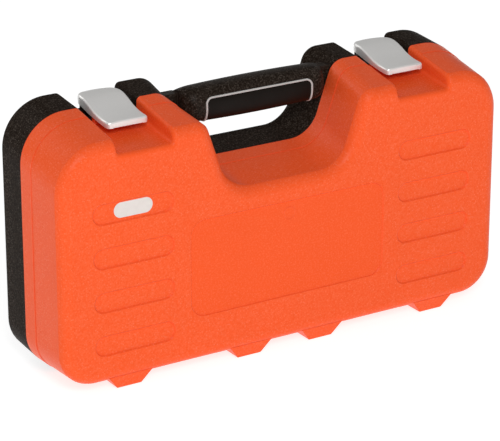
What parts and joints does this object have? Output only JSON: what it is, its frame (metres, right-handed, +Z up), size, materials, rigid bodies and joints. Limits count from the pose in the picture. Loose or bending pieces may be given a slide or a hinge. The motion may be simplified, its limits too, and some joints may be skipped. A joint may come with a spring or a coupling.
{
  "type": "socket wrench set in case",
  "caption": "Two-shell carry case with a handle notch, lever latches and moulded feet, holding a ratchet, extension bars and hexagon sockets in a fitted tray.",
  "frame": {"origin": "on the floor under the middle of the standing case", "axes": "+X to the case's right along its width, +Y to the back (base shell), +Z up"},
  "size_m": [0.39, 0.092, 0.2084],
  "materials": {
    "lid_plastic": "fine grained moulded plastic",
    "base_plastic": "fine grained moulded plastic",
    "handle_plastic": "fine grained moulded plastic",
    "latch_silver": "satin silver",
    "grip_rubber": "smooth dark rubber",
    "piping": "pale grey",
    "tray_plastic": "formed plastic",
    "insert_rubber": "soft rubber",
    "steel": "turned steel",
    "chrome": "bright chrome plate"
  },
  "bodies": {
    "case_base": {"base_shell": "base_plastic", "extension_balls": "steel", "extension_long": "chrome", "extension_short": "chrome", "handle_bar": "handle_plastic", "handle_inlay": "grip_rubber", "handle_piping": "piping", "handle_screws": "steel", "left_hinge_pin": "steel", "left_latch_pin": "steel", "plug_inserts": "insert_rubber", "plug_socket_16": "chrome", "plug_socket_21": "chrome", "ratchet_body": "chrome", "ratchet_cover": "chrome", "ratchet_cover_screws": "steel", "ratchet_grip": "grip_rubber", "ratchet_plunger": "steel", "right_hinge_pin": "steel", "right_latch_pin": "steel", "socket_10": "chrome", "socket_11": "chrome", "socket_12": "chrome", "socket_13": "chrome", "socket_14": "chrome", "socket_15": "chrome", "socket_16": "chrome", "socket_17": "chrome", "socket_18": "chrome", "socket_19": "chrome", "socket_21": "chrome", "socket_22": "chrome", "socket_24": "chrome", "socket_27": "chrome", "socket_30": "chrome", "socket_32": "chrome", "tool_tray": "tray_plastic", "tray_screws": "steel"},
    "lid": {"lid_shell": "lid_plastic"},
    "left_latch": {"left_latch": "latch_silver"},
    "right_latch": {"right_latch": "latch_silver"},
    "ratchet_drive": {"ratchet_drive": "chrome", "ratchet_ball": "steel"},
    "ratchet_button": {"ratchet_button": "chrome"},
    "ratchet_selector": {"ratchet_selector": "chrome", "ratchet_pawl": "steel"}
  },
  "joints": [
    {"name": "lid_hinge", "type": "hinge", "parent": "case_base", "child": "lid", "pos_m": [0, 0.01, 0.0048], "axis": [1, 0, 0], "range_deg": [0, 160]},
    {"name": "left_latch_pivot", "type": "hinge", "parent": "case_base", "child": "left_latch", "pos_m": [-0.12199, 0.03, 0.1979], "axis": [-1, 0, 0], "range_deg": [0, 80]},
    {"name": "right_latch_pivot", "type": "hinge", "parent": "case_base", "child": "right_latch", "pos_m": [0.12199, 0.03, 0.1979], "axis": [-1, 0, 0], "range_deg": [0, 80]},
    {"name": "ratchet_drive_turn", "type": "hinge", "parent": "case_base", "child": "ratchet_drive", "pos_m": [-0.163, 0.011, 0.037], "axis": [0, 1, 0], "continuous": true},
    {"name": "ratchet_selector_turn", "type": "hinge", "parent": "case_base", "child": "ratchet_selector", "pos_m": [-0.1468, 0.011, 0.037], "axis": [0, 1, 0], "range_deg": [-20, 20]},
    {"name": "ratchet_button_push", "type": "slide", "parent": "ratchet_drive", "child": "ratchet_button", "axis": [0, 1, 0], "range_m": [0, 0.002], "stiffness_N_per_m": 800}
  ]
}
